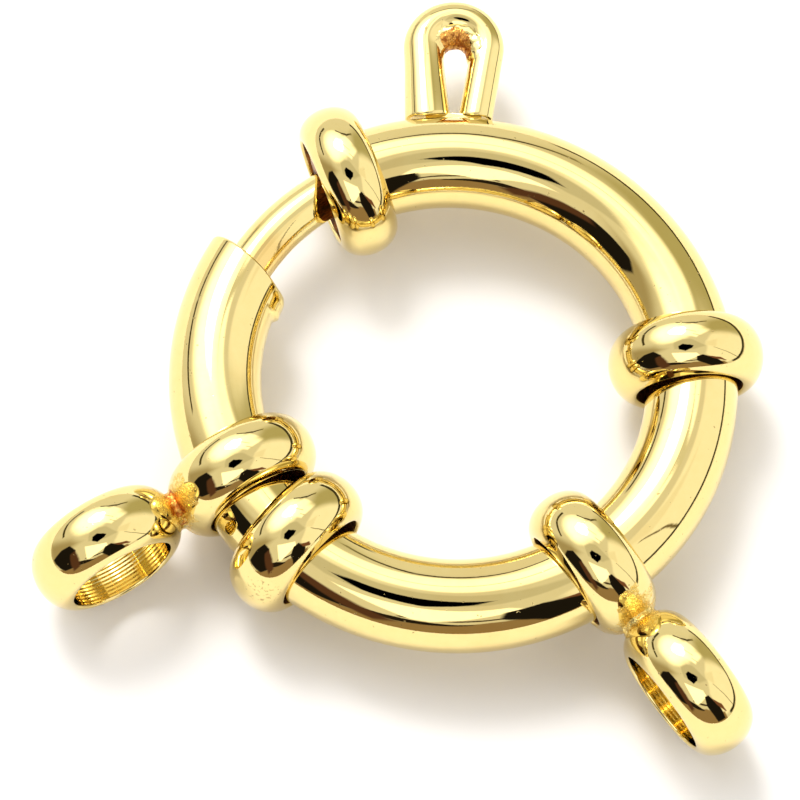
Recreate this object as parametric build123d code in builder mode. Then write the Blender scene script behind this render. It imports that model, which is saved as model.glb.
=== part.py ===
from build123d import *
import math
import os

# Spring ring clasp with two figure-eight links, in millimetres.
# The origin is the centre of the ring, in the ring's middle plane, and +Z points up from the
# surface that the clasp lies on. Angles go round the ring about +Z, from 0 at +X, so that the
# thumb loop stands out along +Y. The mouth of the ring lies between the mouth bead and the tube
# mouth, and the tongue bridges it.

# Tube
ring_outer_diameter = 20.0
tube_diameter = 3.25
tube_wall = 0.3
tube_mouth_angle = 150.7
tube_mouth_skew = 13.0
mouth_cut_depth = 2.0
end_wall = 0.7
end_wall_recess = 0.4
spring_seat_wall = 0.6
spring_seat_angle = 11.0

# Lip that keeps the links on the tube at its mouth
lip_radius = 0.8
lip_height = 0.17
lip_setback = 0.68

# Beads and link rings: round-backed bands
band_outer_diameter = 5.5
band_width = 2.35
band_clearance = 0.24
band_sag = 0.1
mouth_bead_lift = 0.12
mouth_bead_clearance = 0.3
mouth_bead_width = 2.15
mouth_bead_angle = 116.3
mouth_bead_skew = 4.5
mouth_bead_lean = 5.5
stop_bead_sag = 0.14
shoulder_bead_angle = 6.0
shoulder_bead_lean = 2.5
stop_bead_angle = 228.0

# Links
link_gap_to_stop = 0.83
left_link_skew = 4.5
right_link_angle = 305.5
right_link_skew = 1.3
right_link_lean = 7.0
eye_outer_diameter = 5.5
eye_bore = 3.8
eye_width = 2.35
solder_overlap = 0.1
solder_neck_diameter = 1.3
solder_neck_length = 0.6

# Tongue and its slider inside the tube
tongue_diameter = 1.66
tongue_clearance = 0.06
tongue_reach = 0.6
tongue_tip_round = 0.3
open_tip_proud = 0.1
slider_clearance = 0.1
slider_length = 2.8

# Thumb loop
thumb_loop_angle = 90.0
loop_height = 4.67
loop_arch_radius = 1.16
loop_arch_offset = 0.09
left_leg_lean = 3.4
right_leg_lean = 9.6
left_foot_wire = 1.64
left_leg_wire = 1.4
arch_wire = 1.28
right_leg_wire = 1.2
right_foot_wire = 1.24
bend_fill_wire = 1.1
bend_fill_drop = 0.38
eyelet_end_radius = 0.4
loop_clearance = 0.12
tang_width = 2.0
tang_thickness = 0.8
tang_rise = 0.04
tang_depth = 0.95
slot_clearance = 0.1
pocket_clearance = 0.04

# Coil spring
spring_wire = 0.3
spring_clearance = 0.17
spring_turns = 15
spring_end_gap = 0.05
points_per_turn = 12
wire_sides = 6

# Sizes that follow
ring_radius = (ring_outer_diameter - tube_diameter) / 2
tube_radius = tube_diameter / 2
chamber_radius = tube_radius - tube_wall
band_bore = tube_diameter + 2 * band_clearance
mouth_bead_bore = tube_diameter + 2 * mouth_bead_clearance
band_radius = ring_radius - band_width**2 / (16 * ring_radius)


def arc_angle(length, radius=ring_radius):
    """Angle in degrees that a length takes up along a circle."""
    return math.degrees(length / radius)


tube_end_angle = mouth_bead_angle + arc_angle(mouth_bead_width / 2 - end_wall_recess)
tongue_tip_angle = tube_mouth_angle + arc_angle(tongue_reach)
tongue_travel = tongue_tip_angle - tube_end_angle - arc_angle(open_tip_proud)
slider_front_angle = thumb_loop_angle + arc_angle(slider_length / 2)
slider_rear_angle = thumb_loop_angle - arc_angle(slider_length / 2)
left_link_angle = stop_bead_angle - arc_angle(band_width + link_gap_to_stop)


def section_plane(angle):
    """Plane across the tube at an angle round the ring: X points outwards and Y up."""
    turn = math.radians(angle)
    outwards = (math.cos(turn), math.sin(turn), 0)
    return Plane(origin=(0, 0, 0), x_dir=outwards, z_dir=(math.sin(turn), -math.cos(turn), 0))


def level_plane(angle, distance=0.0, skew=0.0, lean=0.0):
    """Plane at a distance from the ring's centre: X points outwards, Y along the tube.

    The plane is level, or its Y axis is raised by the lean.
    """
    turn, look, tilt = (math.radians(part) for part in (angle, angle + skew, lean))
    origin = (distance * math.cos(turn), distance * math.sin(turn), 0)
    outwards = (math.cos(look), math.sin(look), 0)
    upwards = (
        math.sin(look) * math.sin(tilt), -math.cos(look) * math.sin(tilt), math.cos(tilt)
    )
    return Plane(origin=origin, x_dir=outwards, z_dir=upwards)


def ring_arc(start_angle, end_angle, radius):
    """Round bar of a radius that follows the ring from one angle to another."""
    with BuildPart() as bar:
        with BuildSketch(section_plane(start_angle)):
            with Locations((ring_radius, 0)):
                Circle(radius)
        revolve(axis=Axis.Z, revolution_arc=end_angle - start_angle)
    return bar.part


def band(place, bore, outer_diameter, width):
    """Band round the Y axis of a place, flat in its bore and half an ellipse on its back."""
    crown = (outer_diameter - bore) / 2
    with BuildPart() as ring:
        with BuildSketch(place):
            with BuildLine():
                Line((bore / 2, -width / 2), (bore / 2, width / 2))
                EllipticalCenterArc((bore / 2, 0), crown, width / 2, start_angle=90, arc_size=-180)
            make_face()
        revolve(axis=Axis(place.origin, place.y_dir), revolution_arc=360)
    return ring.part


def bead(angle, sag, bore, width, skew=0.0, lean=0.0):
    """Bead round the tube, a little nearer the ring's centre than the tube by its sag."""
    place = level_plane(angle, band_radius - sag, skew, lean)
    return band(place, bore, band_outer_diameter, width)


def link(angle, skew, lean=0.0):
    """Figure-eight link: a collar round the tube, soldered to an eye that points outwards."""
    collar_place = level_plane(angle, band_radius - band_sag, skew, lean)
    outwards = collar_place.x_dir
    eye_centre = collar_place.origin + outwards * (
        (band_outer_diameter + eye_outer_diameter) / 2 - solder_overlap
    )
    neck_start = collar_place.origin + outwards * (
        (band_outer_diameter - solder_overlap - solder_neck_length) / 2
    )
    eye_place = Plane(origin=eye_centre, x_dir=outwards, z_dir=collar_place.z_dir)
    neck_place = Plane(origin=neck_start, x_dir=collar_place.z_dir, z_dir=outwards)
    with BuildPart() as whole:
        add(band(collar_place, band_bore, band_outer_diameter, band_width))
        add(band(eye_place, eye_bore, eye_outer_diameter, eye_width))
        with BuildSketch(neck_place):
            Circle(solder_neck_diameter / 2)
        extrude(amount=solder_neck_length)
    return whole.part


# Ring tube: open at the mouth, closed by a drilled wall where the tongue comes out, with a wall
# inside that the spring pushes on and a slot along its outer side for the thumb loop's tang
tang_half_angle = math.degrees(math.asin(tang_width / 2 / (ring_radius + chamber_radius)))
slot_start_angle = thumb_loop_angle - tongue_travel - tang_half_angle - arc_angle(slot_clearance)
slot_end_angle = thumb_loop_angle + tang_half_angle + arc_angle(slot_clearance)
chamber_end_angle = tube_end_angle - arc_angle(end_wall)
seat_rear_angle = spring_seat_angle - arc_angle(spring_seat_wall)
lip_angle = math.radians(tube_mouth_angle + arc_angle(lip_setback))
lip_distance = ring_radius - tube_radius - lip_height + lip_radius
mouth_start_angle = tube_mouth_angle - arc_angle(mouth_cut_depth / 2)
mouth_centre = section_plane(tube_mouth_angle).x_dir * ring_radius
mouth_look = section_plane(tube_mouth_angle - tube_mouth_skew)
mouth_place = Plane(origin=mouth_centre, x_dir=mouth_look.x_dir, z_dir=mouth_look.z_dir)
with BuildPart() as ring_tube:
    add(ring_arc(mouth_start_angle, tube_end_angle + 360, tube_radius))
    with Locations((lip_distance * math.cos(lip_angle), lip_distance * math.sin(lip_angle), 0)):
        Sphere(lip_radius)
    add(ring_arc(mouth_start_angle, seat_rear_angle + 360, chamber_radius), mode=Mode.SUBTRACT)
    with BuildSketch(mouth_place):
        Rectangle(2 * tube_diameter, 2 * tube_diameter)
    extrude(amount=mouth_cut_depth, mode=Mode.SUBTRACT)
    add(ring_arc(spring_seat_angle, chamber_end_angle, chamber_radius), mode=Mode.SUBTRACT)
    tongue_hole = ring_arc(
        chamber_end_angle - arc_angle(end_wall),
        tube_end_angle + arc_angle(end_wall),
        tongue_diameter / 2 + tongue_clearance,
    )
    add(tongue_hole, mode=Mode.SUBTRACT)
    with BuildSketch(section_plane(slot_start_angle)):
        with Locations((ring_radius, 0)):
            Rectangle(
                tube_diameter, tang_thickness + 2 * slot_clearance, align=(Align.MIN, Align.CENTER)
            )
    revolve(axis=Axis.Z, revolution_arc=slot_end_angle - slot_start_angle, mode=Mode.SUBTRACT)
ring_tube.part.label = "ring_tube"

# Beads: one at the mouth, one on the shoulder and one that stops the links
with BuildPart() as mouth_bead:
    mouth_bead_form = bead(
        mouth_bead_angle, -mouth_bead_lift, mouth_bead_bore, mouth_bead_width,
        skew=-mouth_bead_skew, lean=-mouth_bead_lean,
    )
    add(mouth_bead_form)
mouth_bead.part.label = "mouth_bead"

with BuildPart() as shoulder_bead:
    add(bead(shoulder_bead_angle, band_sag, band_bore, band_width, lean=shoulder_bead_lean))
shoulder_bead.part.label = "shoulder_bead"

with BuildPart() as stop_bead:
    add(bead(stop_bead_angle, stop_bead_sag, band_bore, band_width))
stop_bead.part.label = "stop_bead"

# Links, which slide round the tube
with BuildPart() as left_link:
    add(link(left_link_angle, left_link_skew))
left_link.part.label = "left_link"

with BuildPart() as right_link:
    add(link(right_link_angle, right_link_skew, right_link_lean))
right_link.part.label = "right_link"

# Thumb loop: one bent wire whose feet follow the tube, filled inside its bend, on a flat tang that
# goes in through the slot
loop_place = level_plane(thumb_loop_angle)
arch_distance = ring_outer_diameter / 2 + loop_height - arch_wire / 2 - loop_arch_radius
foot_distance = ring_radius + chamber_radius
feet_span = arc_angle(loop_arch_radius + max(left_foot_wire, right_foot_wire))
slider_radius = chamber_radius - slider_clearance
tang_floor = ring_radius + slider_radius - tang_depth
tang_top = ring_radius + tube_radius + loop_clearance + tang_rise


def arch_point(angle):
    """Point on the middle line of the loop's arch, in the loop's own plane."""
    turn = math.radians(angle)
    across = loop_arch_radius * math.sin(turn) - loop_arch_offset
    return (arch_distance + loop_arch_radius * math.cos(turn), across)


def leg_foot(top, lean):
    """Foot of the leg that starts at a top and leans by an angle along the tube."""
    return (foot_distance, top[1] + (top[0] - foot_distance) * math.tan(math.radians(lean)))


def tang_block(play):
    """Block of the tang's size, with a play all round it."""
    size = (tang_top - tang_floor + 2 * play, tang_width + 2 * play, tang_thickness + 2 * play)
    with BuildPart() as block:
        with BuildSketch(loop_place.offset(-size[2] / 2)):
            with Locations((tang_floor - play, 0)):
                Rectangle(size[0], size[1], align=(Align.MIN, Align.CENTER))
        extrude(amount=size[2])
    return block.part


left_top = arch_point(90 + left_leg_lean)
right_top = arch_point(-90 - right_leg_lean)
with BuildPart() as thumb_loop:
    with BuildLine(loop_place):
        left_leg = Line(leg_foot(left_top, -left_leg_lean), left_top)
        arch = CenterArc(
            (arch_distance, -loop_arch_offset),
            loop_arch_radius,
            start_angle=90 + left_leg_lean,
            arc_size=-(180 + left_leg_lean + right_leg_lean),
        )
        right_leg = Line(right_top, leg_foot(right_top, right_leg_lean))
    sections = (
        # line, share of its length, wire
        (left_leg, 0, left_foot_wire),
        (left_leg, 1, left_leg_wire),
        (arch, 0.5, arch_wire),
        (right_leg, 0, right_leg_wire),
        (right_leg, 1, right_foot_wire),
    )
    for line, share, wire in sections:
        with BuildSketch(Plane(origin=line @ share, z_dir=line % share)):
            Circle(wire / 2)
    sweep(multisection=True)
    with BuildLine(loop_place):
        bend_fill = CenterArc(
            (arch_distance - bend_fill_drop, -loop_arch_offset),
            eyelet_end_radius + bend_fill_wire / 2,
            start_angle=90,
            arc_size=-180,
        )
    with BuildSketch(Plane(origin=bend_fill @ 0, z_dir=bend_fill % 0)):
        Circle(bend_fill_wire / 2)
    sweep()
    with Locations(bend_fill @ 0, bend_fill @ 1):
        Sphere(bend_fill_wire / 2)
    clear_of_tube = ring_arc(
        thumb_loop_angle - feet_span, thumb_loop_angle + feet_span, tube_radius + loop_clearance
    )
    add(clear_of_tube, mode=Mode.SUBTRACT)
    add(tang_block(0))
thumb_loop.part.label = "thumb_loop"

# Tongue: a curved wire with a thicker slider, which has a pocket for the tang
with BuildPart() as tongue:
    add(ring_arc(slider_rear_angle, tongue_tip_angle, tongue_diameter / 2))
    tip = section_plane(tongue_tip_angle).x_dir * ring_radius
    fillet(tongue.faces().sort_by_distance(tip)[0].edges(), tongue_tip_round)
    add(ring_arc(slider_rear_angle, slider_front_angle, slider_radius))
    add(tang_block(pocket_clearance), mode=Mode.SUBTRACT)
tongue.part.label = "tongue"


def coil_point(share):
    """Middle of the spring's wire and the middle of its coil, at a share of its length."""
    margin = arc_angle(spring_end_gap + spring_wire / 2)
    start = spring_seat_angle + margin
    end = slider_rear_angle - margin
    outwards = section_plane(start + (end - start) * share).x_dir
    turn = 2 * math.pi * spring_turns * share
    coil_radius = chamber_radius - spring_clearance - spring_wire / 2
    middle = outwards * ring_radius
    spoke = outwards * math.cos(turn) + Vector(0, 0, 1) * math.sin(turn)
    return middle + spoke * coil_radius, spoke


def wire_ring(index, count):
    """Corners of the spring's many-sided wire at one of its points."""
    centre, spoke = coil_point(index / count)
    ahead = coil_point((index + 0.5) / count)[0] - coil_point((index - 0.5) / count)[0]
    side = ahead.cross(spoke).normalized()
    spoke = side.cross(ahead).normalized()
    corners = []
    for number in range(wire_sides):
        turn = 2 * math.pi * number / wire_sides
        offset = spoke * math.cos(turn) + side * math.sin(turn)
        corners.append(centre + offset * spring_wire / 2)
    return corners


def flat_face(*corners):
    """Flat face through a loop of corners."""
    return Face(Wire.make_polygon(corners, close=True))


# Coil spring: many flat faces, between the wall in the tube and the slider
step_count = spring_turns * points_per_turn
rings = [wire_ring(index, step_count) for index in range(step_count + 1)]
faces = [flat_face(*rings[0]), flat_face(*rings[-1])]
for near, far in zip(rings, rings[1:]):
    for number in range(wire_sides):
        following = (number + 1) % wire_sides
        faces.append(flat_face(near[number], near[following], far[following]))
        faces.append(flat_face(near[number], far[following], far[number]))
with BuildPart() as coil_spring:
    add(Solid(Shell(faces)))
coil_spring.part.label = "coil_spring"

os.makedirs("parts", exist_ok=True)
export_step(ring_tube.part, "parts/ring_tube.step")
export_step(mouth_bead.part, "parts/mouth_bead.step")
export_step(shoulder_bead.part, "parts/shoulder_bead.step")
export_step(stop_bead.part, "parts/stop_bead.step")
export_step(left_link.part, "parts/left_link.step")
export_step(right_link.part, "parts/right_link.step")
export_step(tongue.part, "parts/tongue.step")
export_step(thumb_loop.part, "parts/thumb_loop.step")
export_step(coil_spring.part, "parts/coil_spring.step")
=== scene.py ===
"""Looks of the spring ring clasp: polished gold plate in a white light tent.

Sizes are in millimetres and angles in degrees until a mesh is made. Angles go round the ring about
+Z, from 0 at +X, and the thumb loop stands out along +Y.
"""

import logging
import math
from collections.abc import Callable, Iterable, Sequence
from dataclasses import dataclass, field
from enum import Enum

import bmesh
import bpy
from mathutils import Matrix, Vector, noise


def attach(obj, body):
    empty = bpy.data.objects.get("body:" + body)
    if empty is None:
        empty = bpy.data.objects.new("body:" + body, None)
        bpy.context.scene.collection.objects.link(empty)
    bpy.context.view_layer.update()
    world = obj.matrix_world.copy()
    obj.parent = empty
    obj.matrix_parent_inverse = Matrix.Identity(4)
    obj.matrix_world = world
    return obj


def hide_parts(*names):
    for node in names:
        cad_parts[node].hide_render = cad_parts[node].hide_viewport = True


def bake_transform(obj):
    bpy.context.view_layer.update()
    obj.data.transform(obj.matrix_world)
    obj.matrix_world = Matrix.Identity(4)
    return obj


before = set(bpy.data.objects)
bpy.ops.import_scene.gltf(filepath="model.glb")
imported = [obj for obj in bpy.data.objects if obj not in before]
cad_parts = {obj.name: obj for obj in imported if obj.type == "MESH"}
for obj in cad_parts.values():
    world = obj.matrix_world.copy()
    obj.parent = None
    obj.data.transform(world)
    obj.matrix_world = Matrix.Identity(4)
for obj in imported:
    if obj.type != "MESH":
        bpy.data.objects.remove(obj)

LOG = logging.getLogger("clasp")
MM = 0.001
MICRON = 1e-6
UP = Vector((0, 0, 1))
Colour = tuple[float, float, float]
HEM = (0.07, 0.06, 0.03)


def turned(degrees: float) -> Vector:
    """Level direction at an angle round the ring."""
    return Vector((math.cos(math.radians(degrees)), math.sin(math.radians(degrees)), 0))


def ramp(low: float, high: float, value: float) -> float:
    """Smooth step of a value from 0 at low to 1 at high."""
    share = min(max((value - low) / (high - low), 0.0), 1.0)
    return share * share * (3 - 2 * share)


def steps(start: float, end: float, count: int) -> list[float]:
    """Evenly spaced values from start to end.

    Args:
        start: First value.
        end: Last value.
        count: Number of intervals.

    Returns:
        count + 1 values.
    """
    return [start + (end - start) * index / count for index in range(count + 1)]


def circle(count: int) -> list[float]:
    """Evenly spaced turns once round, in radians."""
    return steps(0, 2 * math.pi, count)[:-1]


def spoke(out: Vector, turn: float, high: Vector = UP) -> Vector:
    """Direction that is turned from one direction towards another."""
    return out * math.cos(turn) + high * math.sin(turn)


class Value:
    """A node's output socket whose arithmetic adds Math nodes."""

    def __init__(self, wiring: "Wiring", socket: bpy.types.NodeSocket) -> None:
        """Keep the socket and the tree it belongs to."""
        self.wiring = wiring
        self.socket = socket

    def _with(self, operation: str, first: object, second: object) -> "Value":
        """Add one Math node on two values."""
        maths = self.wiring.node("ShaderNodeMath", {"operation": operation}, {0: first, 1: second})
        return Value(self.wiring, maths.outputs[0])

    def __add__(self, other: object) -> "Value":
        """Sum."""
        return self._with("ADD", self, other)

    __radd__ = __add__

    def __sub__(self, other: object) -> "Value":
        """Difference."""
        return self._with("SUBTRACT", self, other)

    def __mul__(self, other: object) -> "Value":
        """Product."""
        return self._with("MULTIPLY", self, other)

    def least(self, other: object) -> "Value":
        """Smaller of two values."""
        return self._with("MINIMUM", self, other)


class Wiring:
    """A node tree that is filled by calls instead of by hand."""

    def __init__(self, tree: bpy.types.NodeTree) -> None:
        """Empty the tree."""
        self.tree = tree
        tree.nodes.clear()

    def node(
        self, kind: str, settings: dict[str, object] | None = None, inputs: dict | None = None
    ) -> bpy.types.Node:
        """Add one node.

        Args:
            kind: Blender's type name of the node.
            settings: Properties that are set first.
            inputs: Values or links by socket name or index.

        Returns:
            The new node.
        """
        made = self.tree.nodes.new(kind)
        for name, setting in (settings or {}).items():
            setattr(made, name, setting)
        for name, given in (inputs or {}).items():
            socket = made.inputs[name]
            if isinstance(given, Value):
                given = given.socket
            if isinstance(given, bpy.types.NodeSocket):
                self.tree.links.new(given, socket)
            else:
                socket.default_value = given
        return made

    def value(self, kind: str, settings: dict, inputs: dict, output: str | int = 0) -> Value:
        """Add a node and wrap one of its outputs."""
        return Value(self, self.node(kind, settings, inputs).outputs[output])

    def between(self, value: object, low: float, high: float) -> Value:
        """Smooth step of a value from 0 at low to 1 at high."""
        inputs = {"Value": value, "From Min": low, "From Max": high}
        return self.value("ShaderNodeMapRange", {"interpolation_type": "SMOOTHSTEP"}, inputs)

    def mix(self, factor: object, first: object, second: object) -> Value:
        """Mix two colours.

        Args:
            factor: 0 gives the first colour and 1 the second.
            first: Colour or link.
            second: Colour or link.

        Returns:
            The mixed colour.
        """
        inputs = {0: factor, 6: self._rgba(first), 7: self._rgba(second)}
        return self.value("ShaderNodeMix", {"data_type": "RGBA"}, inputs, 2)

    def _rgba(self, colour: object) -> object:
        """A plain colour with its alpha, or the link as it is."""
        return (*colour, 1) if isinstance(colour, tuple) else colour

    def vector(self, operation: str, first: object, second: object = None) -> Value:
        """Add a Vector Math node.

        Args:
            operation: Blender's name of the operation.
            first: Vector or link.
            second: Vector or link, if the operation takes one.

        Returns:
            The vector, or the number for a dot product or a length.
        """
        inputs = {0: first} if second is None else {0: first, 1: second}
        made = self.node("ShaderNodeVectorMath", {"operation": operation}, inputs)
        number = operation in ("DOT_PRODUCT", "LENGTH", "DISTANCE")
        return Value(self, made.outputs["Value" if number else "Vector"])

    def grain(
        self, place: object, size: float, detail: float = 2.0, roughness: float = 0.5
    ) -> Value:
        """Noise from 0 to 1.

        Args:
            place: Coordinates in metres.
            size: Size of the noise's features in millimetres.
            detail: Octaves.
            roughness: Weight of the finer octaves.

        Returns:
            The noise's value.
        """
        scale = 1 / (size * MM)
        inputs = {"Vector": place, "Scale": scale, "Detail": detail, "Roughness": roughness}
        return self.value("ShaderNodeTexNoise", {}, inputs)

    def surface(self, inputs: dict) -> None:
        """End a material's nodes with its shader and the output."""
        shader = self.node("ShaderNodeBsdfPrincipled", {}, inputs)
        self.node("ShaderNodeOutputMaterial", {}, {"Surface": shader.outputs[0]})


class MeshWriter:
    """Collects the points and faces of one piece, in millimetres."""

    def __init__(self) -> None:
        """Start empty."""
        self.points: list[Vector] = []
        self.faces: list[tuple[int, ...]] = []
        self.zones: list[int] = []

    def row(self, points: Iterable[Vector]) -> list[int]:
        """Add a row of points.

        Args:
            points: The points.

        Returns:
            Their numbers.
        """
        first = len(self.points)
        self.points.extend(points)
        return list(range(first, len(self.points)))

    def face(self, corners: Sequence[int], zone: int = 0) -> None:
        """Add one face."""
        self.faces.append(tuple(corners))
        self.zones.append(zone)

    def skin(
        self,
        near: Sequence[int],
        far: Sequence[int],
        zone: int = 0,
        closed: bool = True,
        skip: Callable[[int], bool] = lambda index: False,
    ) -> None:
        """Join two rows of equal length with quads.

        Args:
            near: First row.
            far: Second row.
            zone: Number of the finish.
            closed: Whether the rows are rings.
            skip: Tells which places along the row stay open.
        """
        for index in range(len(near) if closed else len(near) - 1):
            after = (index + 1) % len(near)
            if not skip(index):
                self.face((near[index], near[after], far[after], far[index]), zone)

    def onward(
        self,
        last: Sequence[int],
        rows: Iterable[Sequence[int]],
        zone: int = 0,
        skip: Callable[[int], bool] = lambda index: False,
    ) -> Sequence[int]:
        """Carry a skin on from a ring of points over further rings.

        Args:
            last: The ring to start from.
            rows: The further rings.
            zone: Number of the finish.
            skip: Tells which places along the rings stay open.

        Returns:
            The last ring.
        """
        for row in rows:
            self.skin(last, row, zone, skip=skip)
            last = row
        return last

    def fan(self, row: Sequence[int], centre: Vector) -> None:
        """Close a ring of points with triangles.

        Args:
            row: The ring.
            centre: Point at which the triangles meet.
        """
        (middle,) = self.row([centre])
        for index, number in enumerate(row):
            self.face((number, row[(index + 1) % len(row)], middle))

    def rod(self, rows: Sequence[Sequence[int]], start: Vector, end: Vector) -> None:
        """Join rings to a rod that is closed at both ends.

        Args:
            rows: The rings.
            start: Middle of the first end.
            end: Middle of the last end.
        """
        self.onward(rows[0], rows[1:])
        self.fan(rows[0], start)
        self.fan(rows[-1], end)

    def mesh(self, name: str) -> bpy.types.Mesh:
        """Make the mesh in metres, with its faces looking outwards.

        Args:
            name: Name of the mesh.

        Returns:
            The mesh.
        """
        mesh = bpy.data.meshes.new(name)
        mesh.from_pydata([point * MM for point in self.points], [], self.faces)
        for polygon, zone in zip(mesh.polygons, self.zones):
            polygon.material_index = zone
        shape = bmesh.new()
        shape.from_mesh(mesh)
        bmesh.ops.recalc_face_normals(shape, faces=shape.faces)
        shape.to_mesh(mesh)
        shape.free()
        return mesh


def new_object(
    writer: MeshWriter, name: str, finishes: Sequence[bpy.types.Material]
) -> bpy.types.Object:
    """Turn written points into an object with its finishes.

    Args:
        writer: The points and faces.
        name: Name of the piece.
        finishes: Materials in the order of the zones.

    Returns:
        The object, in the scene.
    """
    made = bpy.data.objects.new(name, writer.mesh(name))
    bpy.context.scene.collection.objects.link(made)
    for finish in finishes:
        made.data.materials.append(finish)
    return made


def combine(base: bpy.types.Object, others: Sequence[bpy.types.Object], how: str) -> None:
    """Join other solids to a base, or cut them from it, and remove them.

    Args:
        base: The object that keeps the result.
        others: The solids to use up.
        how: "UNION" or "DIFFERENCE".
    """
    for other in others:
        modifier = base.modifiers.new(how, "BOOLEAN")
        modifier.operation = how
        modifier.solver = "EXACT"
        modifier.material_mode = "TRANSFER"
        modifier.object = other
    graph = bpy.context.evaluated_depsgraph_get()
    mesh = bpy.data.meshes.new_from_object(base.evaluated_get(graph), depsgraph=graph)
    base.modifiers.clear()
    base.data = mesh
    for other in others:
        bpy.data.objects.remove(other)


def polish(piece: bpy.types.Object, crease: float = 50.0) -> None:
    """Shade a piece smooth, except at edges that turn by more than an angle.

    Args:
        piece: The object.
        crease: Angle in degrees over which an edge stays sharp.
    """
    shape = bmesh.new()
    shape.from_mesh(piece.data)
    for face in shape.faces:
        face.smooth = True
    for edge in shape.edges:
        edge.smooth = len(edge.link_faces) != 2 or edge.calc_face_angle(0.0) < math.radians(crease)
    shape.to_mesh(piece.data)
    shape.free()


class Body(Enum):
    """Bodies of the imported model."""

    RING = "ring"
    TONGUE = "tongue"
    LEFT_LINK = "left_link"
    RIGHT_LINK = "right_link"


def settle(piece: bpy.types.Object, node: str, body: Body) -> None:
    """Let a piece stand for a CAD node.

    Args:
        piece: The dressed object.
        node: Name of the node that it replaces.
        body: Body that it moves with.
    """
    polish(piece)
    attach(piece, body.value)
    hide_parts(node)
    LOG.info("%s: %d faces for %s", piece.name, len(piece.data.polygons), node)


@dataclass(frozen=True)
class Finish:
    """Metal whose colour, gloss and fine relief change over the surface."""

    name: str

    def look(self, wiring: Wiring, place: object) -> tuple[Value, Value, Value, float]:
        """Wire what changes over the surface.

        Args:
            wiring: The material's nodes.
            place: Coordinates in metres.

        Returns:
            Colour, roughness, relief, and the height in metres of a relief of 1.
        """
        raise NotImplementedError

    def material(self) -> bpy.types.Material:
        """Build the finish.

        Returns:
            The material.
        """
        made = bpy.data.materials.new(self.name)
        made.use_nodes = True
        wiring = Wiring(made.node_tree)
        place = wiring.node("ShaderNodeTexCoord").outputs["Object"]
        base, rough, relief, height = self.look(wiring, place)
        inputs = {"Height": relief, "Strength": 1.0, "Distance": height}
        normal = wiring.node("ShaderNodeBump", {}, inputs).outputs["Normal"]
        wiring.surface({"Base Color": base, "Metallic": 1.0, "Roughness": rough, "Normal": normal})
        return made


@dataclass(frozen=True)
class GoldPlate(Finish):
    """Mirror-polished gold plate with slow ripples, fine polishing marks and small pits."""

    pale: Colour = (0.865, 0.715, 0.315)
    deep: Colour = (0.835, 0.665, 0.265)
    shade_and_stain_colour: Colour = (0.8, 0.56, 0.2)
    gloss: float = 0.012
    ripple: float = 2.2
    marks: float = 0.15
    shade_and_stains: float = 0.2
    worn: Colour | None = None
    worn_reach: float = 0.75

    def look(self, wiring: Wiring, place: object) -> tuple[Value, Value, Value, float]:
        """Wire the finish.

        Args:
            wiring: The material's nodes.
            place: Coordinates in metres.

        Returns:
            Colour, roughness, relief and the relief's height.
        """
        clouds = wiring.grain(place, 2.6, 3.0)
        mottle = wiring.grain(place, 0.35, 4.0, 0.6)
        pits = wiring.between(wiring.grain(place, 0.16, 1.0), 0.74, 0.8)
        if self.worn:
            away = wiring.vector("DISTANCE", place, tuple(part * MM for part in self.worn))
            patch = wiring.between(away, self.worn_reach * MM, 0.7 * self.worn_reach * MM)
            pits = pits + wiring.between(wiring.grain(place, 0.11, 1.0), 0.58, 0.66) * patch
        stretched = wiring.vector("MULTIPLY", place, (1.0, 1.0, 7.0))
        brushed = wiring.grain(stretched, 0.09, 2.0)
        # Cloudy patches of the stain tint: real stains, and on the tongue also painted shade.
        shade_and_stain_mask = wiring.between(clouds, 0.52, 0.72) * self.shade_and_stains
        base = wiring.mix(mottle, self.pale, self.deep)
        base = wiring.mix(shade_and_stain_mask, base, self.shade_and_stain_colour)
        base = wiring.mix(pits * 0.5, base, (0.3, 0.17, 0.05))
        rough = self.gloss + mottle * 0.016 + pits * 0.25 + shade_and_stain_mask * 0.04
        height = clouds * self.ripple + brushed * self.marks - pits * 1.2
        return base, rough, height, MICRON


@dataclass(frozen=True)
class CrinkledSolder(Finish):
    """Rough gold-flushed solder that never saw the polishing wheel."""

    bright: Colour
    burnt: Colour
    gloss: float

    def look(self, wiring: Wiring, place: object) -> tuple[Value, Value, Value, float]:
        """Wire the finish.

        Args:
            wiring: The material's nodes.
            place: Coordinates in metres.

        Returns:
            Colour, roughness, relief and the relief's height.
        """
        clots = wiring.grain(place, 0.28, 4.0, 0.65)
        grit = wiring.grain(place, 0.07, 3.0, 0.6)
        burn = wiring.between(wiring.grain(place, 0.15, 3.0, 0.6), 0.42, 0.58)
        base = wiring.mix(burn, self.bright, self.burnt)
        rough = self.gloss + grit * 0.2 + burn * 0.18
        height = clots * 40.0 + grit * 13.0
        return base, rough, height, MICRON


@dataclass(frozen=True)
class ShadedThinPlate(Finish):
    """Dull dark brass in gaps that the polish and most of the plating never reached, darkened
    further as painted shade for the shadow deep in the bores and gaps.
    """

    brass: Colour = (0.34, 0.14, 0.05)
    soot_and_shade: Colour = (0.1, 0.05, 0.03)

    def look(self, wiring: Wiring, place: object) -> tuple[Value, Value, Value, float]:
        """Wire the finish.

        Args:
            wiring: The material's nodes.
            place: Coordinates in metres.

        Returns:
            Colour, roughness, relief and the relief's height.
        """
        # The dark mix is partly dirt and partly painted shade for the shadow inside the gaps.
        dirt_and_shade = wiring.between(wiring.grain(place, 0.4, 4.0, 0.6), 0.4, 0.65)
        base = wiring.mix(dirt_and_shade, self.brass, self.soot_and_shade)
        return base, 0.3 + dirt_and_shade * 0.3, dirt_and_shade, 4 * MICRON


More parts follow.
